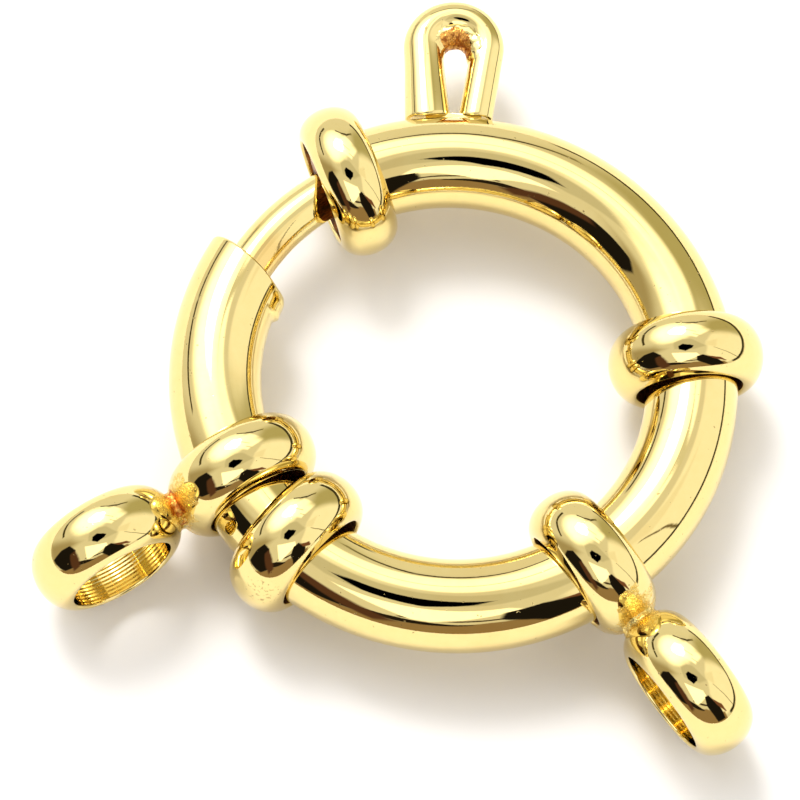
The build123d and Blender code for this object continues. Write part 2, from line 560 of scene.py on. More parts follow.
@dataclass(frozen=True)
class SpringSteel(Finish):
    """Drawn spring wire, grey with a slight oil film."""

    clean: Colour = (0.6, 0.6, 0.62)
    oiled: Colour = (0.4, 0.38, 0.35)

    def look(self, wiring: Wiring, place: object) -> tuple[Value, Value, Value, float]:
        """Wire the finish.

        Args:
            wiring: The material's nodes.
            place: Coordinates in metres.

        Returns:
            Colour, roughness, relief and the relief's height.
        """
        film = wiring.grain(place, 0.6, 3.0)
        drawn = wiring.grain(wiring.vector("MULTIPLY", place, (1.0, 1.0, 5.0)), 0.05, 2.0)
        base = wiring.mix(film, self.clean, self.oiled)
        return base, 0.24 + film * 0.12, drawn, MICRON


@dataclass(frozen=True)
class RingSize:
    """The bent tube that all pieces sit on or in."""

    radius: float = 8.375
    tube: float = 1.625
    chamber: float = 1.325

    def point(self, angle: float, reach: float, section: float) -> Vector:
        """Point of the bent tube.

        Args:
            angle: Angle round the ring.
            reach: Distance from the tube's middle line.
            section: Angle round the tube, 0 at the ring's outer side and 90 on top.

        Returns:
            The point.
        """
        out = self.radius + reach * math.cos(math.radians(section))
        return turned(angle) * out + UP * reach * math.sin(math.radians(section))

    def arc(self, length: float) -> float:
        """Angle that a length takes up along the tube's middle line."""
        return math.degrees(length / self.radius)

    def off_tube(self, point: Vector) -> float:
        """Distance of a point from the tube's middle line."""
        return math.hypot(math.hypot(point.x, point.y) - self.radius, point.z)


@dataclass
class RingTube:
    """Hollow tube with its skewed mouth, lip, drilled end wall, spring seat and slot."""

    size: RingSize = field(default_factory=RingSize)
    mouth: float = 150.7
    mouth_skew: float = 13.0
    rim_round: float = 0.09
    end: float = 480.918
    chamber_end: float = 476.129
    seat_front: float = 371.0
    seat_rear: float = 366.895
    slot_start: float = 410.196
    slot_end: float = 456.601
    slot_half: float = 0.5
    slot_soft: float = 0.04
    hole: float = 0.89
    lip_height: float = 0.17
    lip_length: float = 1.05
    lip_half_angle: float = 32.0
    lip_fall: float = 0.2
    calm: float = 172.0
    facets: int = 96
    slot_facets: int = 6
    slot_stations: int = 46

    def mouth_angle(self, reach: float, section: float) -> float:
        """Angle round the ring at which the skewed mouth plane is met.

        Args:
            reach: Distance from the tube's middle line.
            section: Angle round the tube.

        Returns:
            The angle.
        """
        skew = math.radians(self.mouth_skew)
        out = self.size.radius + reach * math.cos(math.radians(section))
        turn = math.asin(self.size.radius * math.sin(skew) / out)
        return self.mouth - self.mouth_skew + math.degrees(turn)

    def lip(self, section: float, back: float) -> float:
        """Height of the lip over the tube.

        Args:
            section: Angle round the tube.
            back: Distance behind the mouth in millimetres.

        Returns:
            The height in millimetres.
        """
        aside = abs(section % 360 - 180)
        across = 1 - ramp(self.lip_half_angle * 0.2, self.lip_half_angle, aside)
        fall = ramp(self.lip_length - self.lip_fall, self.lip_length, back)
        along = ramp(-0.25, 0.3, back) * (1 - fall)
        return self.lip_height * across * along

    def sections(self, reach: float, spread: float) -> list[float]:
        """Angles round the tube, with lines along both sides of the slot.

        Args:
            reach: Distance from the tube's middle line.
            spread: How far the lines stand outside the slot.

        Returns:
            The angles, once round from the slot's lower side.
        """
        half = math.degrees(math.asin((self.slot_half + spread) / reach))
        return steps(-half, half, self.slot_facets)[:-1] + steps(half, 360 - half, self.facets)[:-1]

    def slot_level(self, reach: float, spread: float, angles: Sequence[float]) -> list[Vector]:
        """Closed line round the slot at one depth.

        Args:
            reach: Distance of the depth from the tube's middle line.
            spread: How far the line stands outside the slot's own outline.
            angles: Angles round the ring of the slot's stations.

        Returns:
            Points up one end, along the top, down the other end and back along the bottom.
        """
        half = self.slot_half + spread
        tilt = math.degrees(math.asin(half / reach))
        more = self.size.arc(spread)
        low, high = self.slot_start - more, self.slot_end + more
        scale = (high - low) / (angles[-1] - angles[0])
        places = [low + (angle - angles[0]) * scale for angle in angles]
        ups = steps(-tilt, tilt, self.slot_facets)
        corners = [(places[0], up) for up in ups]
        corners += [(place, tilt) for place in places[1:]]
        corners += [(places[-1], up) for up in reversed(ups[:-1])]
        corners += [(place, -tilt) for place in reversed(places[1:-1])]
        return [self.size.point(place, reach, up) for place, up in corners]

    def build(self, finish: bpy.types.Material, recess: bpy.types.Material) -> None:
        """Make the tube as one closed skin.

        Args:
            finish: The gold plate.
            recess: Finish of the end that sits in the mouth bead, and of its hole: dull brass
                darkened as painted shade.
        """
        writer, size, soft = MeshWriter(), self.size, self.rim_round
        outer, inner = self.sections(size.tube, self.slot_soft), self.sections(size.chamber, 0)
        more = size.arc(self.slot_soft)
        outer_slot = steps(self.slot_start - more, self.slot_end + more, self.slot_stations)
        inner_slot = steps(self.slot_start, self.slot_end, self.slot_stations)

        def rings(
            angles: Iterable[float], reach: float, sections: Sequence[float]
        ) -> Iterable[list[int]]:
            """Add rings of the tube, one after the other, and give the numbers of their points."""
            for angle in angles:
                yield writer.row(size.point(angle, reach, section) for section in sections)

        def in_slot(index: int) -> bool:
            """Whether a place along a ring is in the slot."""
            return index < self.slot_facets

        def mouth_row(share: float) -> list[int]:
            """Add a ring between the skewed mouth and the first ring that is square.

            Args:
                share: 0 at the mouth to 1 at the square ring.

            Returns:
                Numbers of its points.
            """
            points = []
            for section in outer:
                rim = self.mouth_angle(size.tube, section) + size.arc(soft)
                angle = rim + (self.calm - rim) * share
                back = math.radians(angle - rim) * size.radius + soft
                points.append(size.point(angle, size.tube + self.lip(section, back), section))
            return writer.row(points)

        rows = [mouth_row(share) for share in steps(0, 0.3, 26)[:-1] + steps(0.3, 1, 18)]
        last = writer.onward(rows[0], rows[1:])
        angles = steps(self.calm, outer_slot[0], 230)[1:]
        last = writer.onward(last, rings(angles, size.tube, outer))
        last = writer.onward(last, rings(outer_slot[1:], size.tube, outer), skip=in_slot)
        angles = steps(outer_slot[-1], self.end - size.arc(soft), 24)[1:]
        last = writer.onward(last, rings(angles, size.tube, outer))
        # Rounded rim of the end, its face and the tongue's hole
        for turn in map(math.radians, steps(0, 90, 4)[1:]):
            angle = self.end - size.arc(soft - soft * math.sin(turn))
            reach = size.tube - soft * (1 - math.cos(turn))
            last = writer.onward(last, rings([angle], reach, outer))
        # The end's face and the tongue's hole take the dull brass with painted shade.
        for angle, reach in (
            (self.end, self.hole + 0.05), (self.end - 0.2, self.hole), (self.chamber_end, self.hole),
            (self.chamber_end, size.chamber),
        ):
            last = writer.onward(last, rings([angle], reach, inner), 1)
        angles = steps(self.chamber_end, inner_slot[-1], 12)[1:]
        last = writer.onward(last, rings(angles, size.chamber, inner))
        angles = reversed(inner_slot[:-1])
        last = writer.onward(last, rings(angles, size.chamber, inner), skip=in_slot)
        angles = steps(inner_slot[0], self.seat_front, 24)[1:]
        last = writer.onward(last, rings(angles, size.chamber, inner))
        writer.fan(last, size.point(self.seat_front, 0, 0))
        # Walls of the slot
        levels = [
            writer.row(self.slot_level(size.tube, self.slot_soft, outer_slot)),
            writer.row(self.slot_level(size.tube - self.slot_soft, 0, inner_slot)),
            writer.row(self.slot_level(size.chamber, 0, inner_slot)),
        ]
        writer.onward(levels[0], levels[1:])
        # Rounded rim of the mouth and the chamber behind it
        last, wall = rows[0], size.tube - size.chamber
        for turn in steps(0, 180, 10)[1:]:
            cosine, sine = math.cos(math.radians(turn)), math.sin(math.radians(turn))
            reach = (size.tube - soft if turn <= 90 else size.chamber + soft) + soft * cosine
            points = []
            for section in outer:
                angle = self.mouth_angle(reach, section) + size.arc(soft * (1 - sine))
                lift = self.lip(section, soft) * (reach - size.chamber) / wall
                points.append(size.point(angle, reach + lift, section))
            last = writer.onward(last, [writer.row(points)])
        for share in steps(0, 1, 90)[1:]:
            points = []
            for section in outer:
                front = self.mouth_angle(size.chamber, section) + size.arc(soft)
                angle = front * (1 - share) + self.seat_rear * share
                points.append(size.point(angle, size.chamber, section))
            last = writer.onward(last, [writer.row(points)])
        writer.fan(last, size.point(self.seat_rear, 0, 0))
        made = new_object(writer, "dressed_ring_tube", [finish, recess])
        weld(made)
        settle(made, "ring_tube", Body.RING)


def weld(piece: bpy.types.Object, gap: float = 1e-7) -> None:
    """Join points that lie on each other and turn the faces outwards again.

    Args:
        piece: The object.
        gap: Largest distance in metres.
    """
    shape = bmesh.new()
    shape.from_mesh(piece.data)
    bmesh.ops.remove_doubles(shape, verts=shape.verts, dist=gap)
    bmesh.ops.recalc_face_normals(shape, faces=shape.faces)
    shape.to_mesh(piece.data)
    shape.free()


def leaned(outwards: Vector, lean: float) -> tuple[Vector, Vector]:
    """Frame of a band that leans about the direction in which it points.

    Args:
        outwards: Direction from the ring's centre.
        lean: Degrees by which the direction along the tube is raised.

    Returns:
        Directions upwards and along the tube.
    """
    tilt, along = math.radians(lean), UP.cross(outwards)
    return (
        UP * math.cos(tilt) - along * math.sin(tilt), along * math.cos(tilt) + UP * math.sin(tilt)
    )


@dataclass
class Band:
    """Round-backed band: flat in its bore and half an ellipse on its back."""

    centre: Vector
    outwards: Vector
    lean: float = 0.0
    bore: float = 3.73
    outer: float = 5.5
    width: float = 2.35
    soft: float = 0.09
    grooves: int = 0
    groove_depth: float = 0.008
    segments: int = 168

    def outline(self) -> list[tuple[float, float]]:
        """Closed outline of the band's section.

        Returns:
            Distances from the axis and places along it.
        """
        inner, crown, half = self.bore / 2, (self.outer - self.bore) / 2, self.width / 2
        first = math.asin(self.soft / crown)
        edge = half * math.cos(first)
        flat = edge - self.soft
        count = max(self.grooves * 8, 8)
        points = []
        for index, place in enumerate(steps(-flat, flat, count)):
            wave = (1 - math.cos(2 * math.pi * self.grooves * index / count)) / 2
            uneven = 0.55 + 0.45 * noise.noise(Vector((place * 2.1, 3.7, self.bore)))
            points.append((inner + self.groove_depth * wave * uneven, place))
        corner = [
            (inner + self.soft * (1 - math.cos(turn)), flat + self.soft * math.sin(turn))
            for turn in steps(0, math.pi / 2, 4)[1:-1]
        ]
        back = [
            (inner + crown * math.sin(turn), half * math.cos(turn))
            for turn in steps(first, math.pi - first, 40)
        ]
        return points + corner + back + [(out, -place) for out, place in reversed(corner)]

    def write(self, writer: MeshWriter, bore_zone: int = 0) -> None:
        """Add the band's closed skin to a piece.

        Args:
            writer: The piece.
            bore_zone: Number of the finish in the bore.
        """
        high, axis = leaned(self.outwards, self.lean)
        outline = self.outline()
        bore_count = max(self.grooves * 8, 8)
        rows = []
        for turn in circle(self.segments):
            arm = spoke(self.outwards, turn, high)
            points = (self.centre + arm * out + axis * along for out, along in outline)
            rows.append(writer.row(points))
        for near, far in zip(rows, rows[1:] + rows[:1]):
            writer.skin(near[: bore_count + 1], far[: bore_count + 1], bore_zone, closed=False)
            writer.skin(near[bore_count:] + near[:1], far[bore_count:] + far[:1], closed=False)


@dataclass
class Bead:
    """Bead that sits on the tube."""

    name: str
    angle: float
    sag: float
    bore: float = 3.73
    width: float = 2.35
    skew: float = 0.0
    lean: float = 0.0
    middle: float = 8.3338

    def build(self, finish: bpy.types.Material, recess: bpy.types.Material) -> None:
        """Make the bead.

        Args:
            finish: The gold plate.
            recess: Finish of the bore: dull brass darkened as painted shade.
        """
        writer = MeshWriter()
        centre = turned(self.angle) * (self.middle - self.sag)
        outwards = turned(self.angle + self.skew)
        Band(centre, outwards, self.lean, self.bore, width=self.width).write(writer, 1)
        made = new_object(writer, "dressed_" + self.name, [finish, recess])
        settle(made, self.name, Body.RING)


def scorch(
    made: bpy.types.Object, middle: Vector, axis: Vector, reach: Sequence[float], zone: int
) -> None:
    """Give the faces inside an ellipsoid another finish, with an uneven edge.

    Args:
        made: The piece.
        middle: Middle of the ellipsoid.
        axis: Its level long axis, for the last of the lengths.
        reach: Half length across, upwards and along the axis.
        zone: Number of the finish.
    """
    axes = (UP.cross(axis), UP, axis)
    for polygon in made.data.polygons:
        away = polygon.center / MM - middle
        if away.length < 2:
            spread = math.hypot(*(away.dot(axis) / part for axis, part in zip(axes, reach)))
            if spread + 0.5 * noise.noise(away * 2.3) < 1:
                polygon.material_index = zone


@dataclass
class FigureEightLink:
    """Collar round the tube, soldered to an eye that points outwards."""

    name: str
    angle: float
    skew: float
    body: Body
    lean: float = 0.0
    middle: float = 8.2338
    outer: float = 5.5
    overlap: float = 0.1
    eye_bore: float = 3.8
    eye_grooves: int = 16
    neck_half_length: float = 0.42
    neck_waist: tuple[float, float] = (0.66, 0.84)
    neck_flare: tuple[float, float] = (0.16, 0.2)
    crinkle: float = 0.04
    flushed: tuple[float, float, float] = (0.85, 2.0, 1.1)
    flush_middle: float = 0.35
    burnt: tuple[float, float, float] = (0.66, 1.1, 0.34)

    def neck(self, finish: bpy.types.Material, centre: Vector, outwards: Vector) -> bpy.types.Object:
        """Crinkled solder between collar and eye.

        Args:
            finish: The solder's finish.
            centre: Middle of the neck.
            outwards: Direction from the collar to the eye.

        Returns:
            The object, to be joined to the bands.
        """
        writer, rows = MeshWriter(), []
        upwards, axis = leaned(outwards, self.lean)
        for share in steps(-1, 1, 20):
            points = []
            for turn in circle(72):
                wide = self.neck_waist[0] + self.neck_flare[0] * share * share
                high = self.neck_waist[1] + self.neck_flare[1] * share * share
                arm = axis * wide * math.cos(turn) + upwards * high * math.sin(turn)
                point = centre + outwards * self.neck_half_length * share + arm
                bump = noise.fractal(point * 3.6, 0.6, 2.0, 4) * self.crinkle * 1.6
                points.append(point + arm.normalized() * bump)
            rows.append(writer.row(points))
        reach = outwards * self.neck_half_length
        writer.rod(rows, centre - reach, centre + reach)
        return new_object(writer, self.name + "_neck", [finish])

    def build(
        self, plate: bpy.types.Material, recess: bpy.types.Material,
        flush: bpy.types.Material, solder: bpy.types.Material,
    ) -> None:
        """Make the link as one solid.

        Args:
            plate: The gold plate.
            recess: Finish of the collar's bore: dull brass darkened as painted shade.
            flush: Finish round the neck, where the solder ran.
            solder: Finish of the neck.
        """
        outwards = turned(self.angle + self.skew)
        centre = turned(self.angle) * self.middle
        collar, eye = MeshWriter(), MeshWriter()
        Band(centre, outwards, self.lean, outer=self.outer).write(collar, 1)
        Band(
            centre + outwards * (self.outer - self.overlap), outwards, self.lean,
            bore=self.eye_bore, outer=self.outer, grooves=self.eye_grooves,
        ).write(eye)
        made = new_object(collar, "dressed_" + self.name, [plate, recess, flush, solder])
        second = new_object(eye, self.name + "_eye", [plate])
        middle = centre + outwards * (self.outer - self.overlap) / 2
        combine(made, [second, self.neck(solder, middle, outwards)], "UNION")
        scorch(made, middle - outwards * self.flush_middle, outwards, self.flushed, 2)
        scorch(made, middle, outwards, self.burnt, 3)
        settle(made, self.name, self.body)


@dataclass
class Tang:
    """Flat tang that goes from the thumb loop through the slot into the slider."""

    floor: float = 8.65
    top: float = 10.16
    width: float = 2.0
    thickness: float = 0.8

    def block(self, finish: bpy.types.Material, play: float, soft: float) -> bpy.types.Object:
        """Make the tang's block.

        Args:
            finish: The gold plate.
            play: Room all round it.
            soft: Radius of its edges.

        Returns:
            The object, to be joined or cut.
        """
        writer = MeshWriter()
        half_width, half_thick = self.width / 2 + play, self.thickness / 2 + play
        levels = []
        for height, inset in (
            (self.floor - play, soft), (self.floor - play + soft, 0),
            (self.top + play - soft, 0), (self.top + play, soft),
        ):
            wide, thick = half_width - inset, half_thick - inset
            corners = ((-wide, -thick), (wide, -thick), (wide, thick), (-wide, thick))
            levels.append(writer.row(Vector((across, height, up)) for across, up in corners))
        writer.onward(levels[0], levels[1:])
        writer.face(levels[0])
        writer.face(levels[-1])
        return new_object(writer, "tang_block", [finish])


@dataclass
class Tongue:
    """Curved wire across the mouth, with its slider in the tube."""

    size: RingSize = field(default_factory=RingSize)
    rear: float = 80.422
    front: float = 99.578
    tip: float = 154.805
    wire: float = 0.83
    slider: float = 1.225
    tip_round: float = 0.3
    slider_round: float = 0.12

    def stations(self) -> list[tuple[float, float]]:
        """Outline of the tongue, from the slider's rear to the tip.

        Returns:
            Angles round the ring and radii.
        """
        soft = self.slider_round
        found = [(self.rear, self.slider - soft)]
        turns = [math.radians(turn) for turn in steps(0, 90, 4)]
        found += [
            (self.rear + self.size.arc(soft * (1 - math.cos(turn))),
             self.slider - soft * (1 - math.sin(turn)))
            for turn in turns[1:]
        ]
        found += [(angle, self.slider) for angle in steps(self.rear + 1, self.front - 1, 18)]
        found += [
            (self.front - self.size.arc(soft * (1 - math.sin(turn))),
             self.slider - soft * (1 - math.cos(turn)))
            for turn in turns
        ]
        found += [(self.front, self.wire + 0.03), (self.front + 0.2, self.wire)]
        soft = self.tip_round
        found += [
            (angle, self.wire) for angle in steps(self.front + 1, self.tip - self.size.arc(soft), 60)
        ]
        found += [
            (self.tip - self.size.arc(soft * (1 - math.sin(turn))),
             self.wire - soft * (1 - math.cos(turn)))
            for turn in (math.radians(turn) for turn in steps(0, 90, 8)[1:])
        ]
        return found

    def build(self, finish: bpy.types.Material) -> None:
        """Make the tongue with the pocket for the tang.

        Args:
            finish: The gold plate.
        """
        writer = MeshWriter()
        stations = self.stations()
        rows = [
            writer.row(self.size.point(angle, reach, turn) for turn in steps(0, 360, 72)[:-1])
            for angle, reach in stations
        ]
        ends = (self.size.point(stations[index][0], 0, 0) for index in (0, -1))
        writer.rod(rows, *ends)
        made = new_object(writer, "dressed_tongue", [finish])
        combine(made, [Tang().block(finish, 0.04, 0.01)], "DIFFERENCE")
        settle(made, "tongue", Body.TONGUE)


@dataclass
class ThumbLoop:
    """Bent wire loop whose feet follow the tube, filled inside its bend, on its tang."""

    size: RingSize = field(default_factory=RingSize)
    arch_distance: float = 12.87
    arch_radius: float = 1.16
    arch_aside: float = -0.09
    lean_left: float = 3.4
    lean_right: float = 9.6
    wires: tuple[float, ...] = (1.64, 1.4, 1.28, 1.2, 1.24)
    clear: float = 0.12
    fill_wire: float = 1.1
    fill_radius: float = 0.95
    fill_drop: float = 0.38
    crinkle: float = 0.02
    scorch_middle: tuple[float, float, float] = (0.09, 12.86, 0.0)
    scorch_reach: tuple[float, float, float] = (0.52, 2.0, 0.56)
    sides: int = 72

    def arch_point(self, degrees: float) -> tuple[float, float]:
        """Point on the middle line of the arch.

        Args:
            degrees: Angle from the arch's top.

        Returns:
            Its distance from the ring's centre, and how far it is aside.
        """
        turn = math.radians(degrees)
        ahead = self.arch_distance + self.arch_radius * math.cos(turn)
        return ahead, self.arch_aside + self.arch_radius * math.sin(turn)

    def leg_line(self, left: bool) -> Callable[[float], Vector]:
        """Middle line of a leg.

        Args:
            left: Whether it is the left leg.

        Returns:
            A function that gives the point at a distance below the leg's top.
        """
        sign, lean = (1, self.lean_left) if left else (-1, self.lean_right)
        top = self.arch_point(sign * (90 + lean))
        turn = math.radians(lean)
        return lambda down: Vector(
            (sign * math.sin(turn) * down - top[1], top[0] - math.cos(turn) * down, 0)
        )

    def foot_row(
        self, line: Callable[[float], Vector], side: Vector, reach: float, share: float
    ) -> list[float]:
        """Distances below the leg's top at which its wire ends over the tube.

        Args:
            line: The leg's middle line.
            side: Direction across the leg, in its plane.
            reach: Radius of the wire there.
            share: Share of the wire's radius.

        Returns:
            One distance for each side of the wire.
        """
        ends = []
        for turn in circle(self.sides):
            offset = spoke(side, turn) * reach * share
            low, high = 0.0, 4.0
            for _ in range(40):
                middle = (low + high) / 2
                if self.size.off_tube(line(middle) + offset) > self.size.tube + self.clear:
                    low = middle
                else:
                    high = middle
            ends.append(low)
        return ends

    def leg(self, writer: MeshWriter, left: bool, top_row: list[int]) -> None:
        """Add one leg below its top, with a foot that follows the tube.

        Args:
            writer: The piece.
            left: Whether it is the left leg.
            top_row: Points of the wire at the leg's top.
        """
        line = self.leg_line(left)
        side = self.frame_at(90 + self.lean_left if left else -90 - self.lean_right, 0, 0)[1]
        top_wire, foot_wire = (self.wires[1], self.wires[0]) if left else self.wires[3:5]
        length = self.arch_distance - self.size.radius - self.size.tube
        ends = self.foot_row(line, side, foot_wire / 2, 1.0)
        last = top_row
        turns = circle(self.sides)
        for share in steps(0, 1, 26)[1:]:
            points = []
            for turn, end in zip(turns, ends):
                down = (end - 0.05) * share
                reach = (top_wire + (foot_wire - top_wire) * ramp(0, 1.1, down / length)) / 2
                points.append(line(down) + spoke(side, turn) * reach)
            last = writer.onward(last, [writer.row(points)])
        reach = foot_wire / 2
        for share in (0.97, 0.93, 0.7, 0.4):
            extra = -0.015 if share == 0.97 else 0.0
            ends = self.foot_row(line, side, reach, share)
            row = writer.row(
                line(end + extra) + spoke(side, turn) * reach * share
                for turn, end in zip(turns, ends)
            )
            last = writer.onward(last, [row])
        writer.fan(last, line(self.foot_row(line, side, reach, 0.0)[0]))

    def frame_at(self, degrees: float, radius: float, distance: float) -> tuple[Vector, Vector]:
        """Place on an arch, in the ring's frame.

        Args:
            degrees: Angle from the arch's top.
            radius: Radius of the arch.
            distance: Distance of its centre from the ring's centre.

        Returns:
            The point and the outward direction there.
        """
        turn = math.radians(degrees)
        out = Vector((-math.sin(turn), math.cos(turn), 0))
        centre = Vector((-self.arch_aside, distance, 0))
        return centre + out * radius, out

    def filler(self, finish: bpy.types.Material) -> bpy.types.Object:
        """Crinkled metal inside the bend.

        Args:
            finish: The gold plate.

        Returns:
            The object, to be joined to the wire.
        """
        writer = MeshWriter()
        reach, distance, rows = self.fill_wire / 2, self.arch_distance - self.fill_drop, []
        down = Vector((0, -1, 0))

        def row(middle: Vector, out: Vector, turn: float) -> list[int]:
            """Add one ring of the skin.

            Args:
                middle: Point on the filler's middle line.
                out: Outward direction there.
                turn: Degrees by which the skin has closed over the filler's end.

            Returns:
                Numbers of its points.
            """
            scale, push = math.cos(math.radians(turn)), math.sin(math.radians(turn))
            points = []
            for side in circle(64):
                point = middle + down * reach * push + spoke(out, side) * reach * scale
                bump = noise.fractal(point * 2.6 + Vector((3.0, 1.0, 7.0)), 0.9, 2.0, 4)
                away = (point - middle).normalized()
                points.append(point + away * min(bump * self.crinkle * 1.8, self.crinkle))
            return writer.row(points)

        first, out = self.frame_at(90, self.fill_radius, distance)
        rows += [row(first, out, turn) for turn in steps(80, 0, 7)]
        for angle in steps(90, -90, 80)[1:]:
            middle, out = self.frame_at(angle, self.fill_radius, distance)
            rows.append(row(middle, out, 0))
        rows += [row(middle, out, turn) for turn in steps(0, 80, 7)[1:]]
        writer.rod(rows, first + down * reach, middle + down * reach)
        return new_object(writer, "bend_filler", [finish])

    def build(self, plate: bpy.types.Material, solder: bpy.types.Material) -> None:
        """Make the loop as one solid.

        Args:
            plate: The gold plate.
            solder: Finish of the crinkled filler.
        """
        writer = MeshWriter()
        start, finish = 90 + self.lean_left, -(90 + self.lean_right)
        rows = []
        for degrees in steps(start, finish, 110):
            middle, out = self.frame_at(degrees, self.arch_radius, self.arch_distance)
            if degrees > 0:
                blend = ramp(start, 0, degrees)
                wire = self.wires[1] + (self.wires[2] - self.wires[1]) * blend
            else:
                blend = ramp(0, finish, degrees)
                wire = self.wires[2] + (self.wires[3] - self.wires[2]) * blend
            rows.append(
                writer.row(middle + spoke(out, turn) * wire / 2 for turn in circle(self.sides))
            )
        writer.onward(rows[0], rows[1:])
        self.leg(writer, True, rows[0])
        self.leg(writer, False, rows[-1])
        made = new_object(writer, "dressed_thumb_loop", [plate, solder])
        combine(made, [self.filler(plate), Tang().block(plate, 0.0, 0.03)], "UNION")
        scorch(made, Vector(self.scorch_middle), Vector((0, 1, 0)), self.scorch_reach, 1)
        settle(made, "thumb_loop", Body.TONGUE)


@dataclass
class CoilSpring:
    """Spring between the wall in the tube and the slider; the real one shortens as the tongue
    slides, but here it is built once, at rest.
    """

    size: RingSize = field(default_factory=RingSize)
    start: float = 11.0
    end: float = 80.422
    wire: float = 0.3
    clear: float = 0.17
    turns: int = 15
    end_gap: float = 0.05

    def build(self, finish: bpy.types.Material) -> None:
        """Make the spring.

        Args:
            finish: The steel.
        """
        margin = self.size.arc(self.end_gap + self.wire / 2)
        reach = self.size.chamber - self.clear - self.wire / 2

        def middle(share: float) -> Vector:
            """Middle of the wire at a share of the spring's length."""
            angle = self.start + margin + (self.end - self.start - 2 * margin) * share
            return self.size.point(angle, reach, 360 * self.turns * share)

        writer, rows, count = MeshWriter(), [], self.turns * 30
        for share in steps(0, 1, count):
            centre = middle(share)
            ahead = (middle(share + 0.0005) - middle(share - 0.0005)).normalized()
            angle = self.start + margin + (self.end - self.start - 2 * margin) * share
            side = ahead.cross((centre - self.size.point(angle, 0, 0)).normalized()).normalized()
            out = side.cross(ahead)
            rows.append(
                writer.row(centre + spoke(out, turn, side) * self.wire / 2 for turn in circle(10))
            )
        writer.rod(rows, middle(0), middle(1))
        made = new_object(writer, "dressed_coil_spring", [finish])
        polish(made)
        start = self.size.point(self.start, 0, 0) * MM
        end = self.size.point(self.end, 0, 0) * MM
        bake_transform(made)
        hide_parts("coil_spring")
        LOG.info("%s: %d faces for coil_spring", made.name, len(made.data.polygons))


def direction(tilt: float, azimuth: float) -> Vector:
    """Direction of sight in the tent.

    Args:
        tilt: Degrees from straight up.
        azimuth: Degrees round the upright, counted from the camera's right.

    Returns:
        The direction.
    """
    turn = math.radians(tilt)
    return turned(azimuth - PhotoCamera.azimuth) * math.sin(turn) + UP * math.cos(turn)


@dataclass(frozen=True)
class TentLamp:
    """Round bright patch that lights the tent's cloth from behind."""

    name: str
    tilt: float
    azimuth: float
    reach: float
    soft: float
    light: Colour

    def cover(self, wiring: Wiring, look: Value) -> Value:
        """How much this lamp covers in each direction.

        Args:
            wiring: The world's nodes.
            look: Direction of sight.

        Returns:
            0 outside the lamp to 1 in it.
        """
        middle = direction(self.tilt, self.azimuth)
        near = wiring.vector("DOT_PRODUCT", look, tuple(middle))
        outside = math.cos(math.radians(self.reach + self.soft))
        return wiring.between(near, outside, math.cos(math.radians(self.reach - self.soft)))


@dataclass(frozen=True)
class TentPanel:
    """Panel of the tent with straight edges, or an opening in it.

    The corners are pairs of tilt and azimuth, so that the panel lies on the left of each edge as
    seen from inside.
    """

    name: str
    light: Colour
    soft: float
    corners: tuple[tuple[float, float], ...]

    def cover(self, wiring: Wiring, look: Value) -> Value:
        """How much this panel covers in each direction.

        Args:
            wiring: The world's nodes.
            look: Direction of sight.

        Returns:
            0 outside the panel to 1 in it.
        """
        spots = [direction(*corner) for corner in self.corners]
        middle = sum(spots, Vector())
        edge = math.sin(math.radians(self.soft))
        covered: Value | None = None
        for spot, following in zip(spots, spots[1:] + spots[:1]):
            inwards = spot.cross(following).normalized()
            if inwards.dot(middle) < 0:
                inwards.negate()
            beyond = wiring.vector("DOT_PRODUCT", look, tuple(inwards))
            covered = beyond if covered is None else covered.least(beyond)
        return wiring.between(covered, -edge, edge)


@dataclass(frozen=True)
class TentHem:
    """Dark line low on the tent, where its cloth meets the table."""

    name: str
    light: Colour
    azimuth: float
    reach: float
    tilts: tuple[float, float]

    def cover(self, wiring: Wiring, look: Value) -> Value:
        """How much this hem covers in each direction.

        Args:
            wiring: The world's nodes.
            look: Direction of sight.

        Returns:
            0 outside the hem to 1 in it.
        """
        rise = wiring.vector("DOT_PRODUCT", look, tuple(UP))
        top, bottom = (math.cos(math.radians(tilt)) for tilt in self.tilts)
        near = wiring.vector("DOT_PRODUCT", look, tuple(direction(90, self.azimuth)))
        edge = math.cos(math.radians(self.reach))
        covered = wiring.between(rise, top + 0.01, top - 0.01)
        covered = covered * wiring.between(rise, bottom - 0.01, bottom + 0.01)
        return covered * wiring.between(near, edge - 0.02, edge + 0.02)


